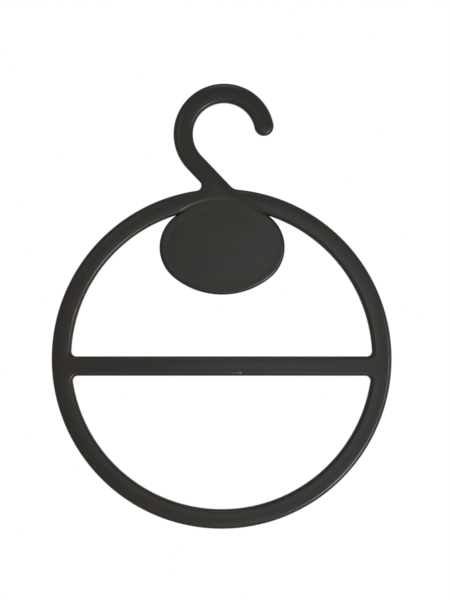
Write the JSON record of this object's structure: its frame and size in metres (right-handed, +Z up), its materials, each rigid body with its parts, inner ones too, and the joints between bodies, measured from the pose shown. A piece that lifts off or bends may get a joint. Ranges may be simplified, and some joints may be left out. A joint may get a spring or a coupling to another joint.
{
  "type": "scarf_hanger",
  "caption": "Flat ring scarf hanger in dark brown-black satin plastic, with an open hook, a slanted neck, a straight bar across the ring and an oval badge plate.",
  "frame": {"origin": "centre of the hook's arc, in the middle of the moulding's thickness", "axes": "+X right and +Z up as the hanger hangs, seen from the front; the front with the badge faces -Y"},
  "size_m": [0.2, 0.0064, 0.2618],
  "materials": {
    "body_plastic": "satin moulded, very fine grain"
  },
  "bodies": {
    "root": {"hook": "body_plastic", "neck": "body_plastic", "ring_upper_left": "body_plastic", "ring_upper_right": "body_plastic", "ring_lower_left": "body_plastic", "ring_lower_right": "body_plastic", "crossbar": "body_plastic", "badge_plate": "body_plastic"}
  },
  "joints": []
}
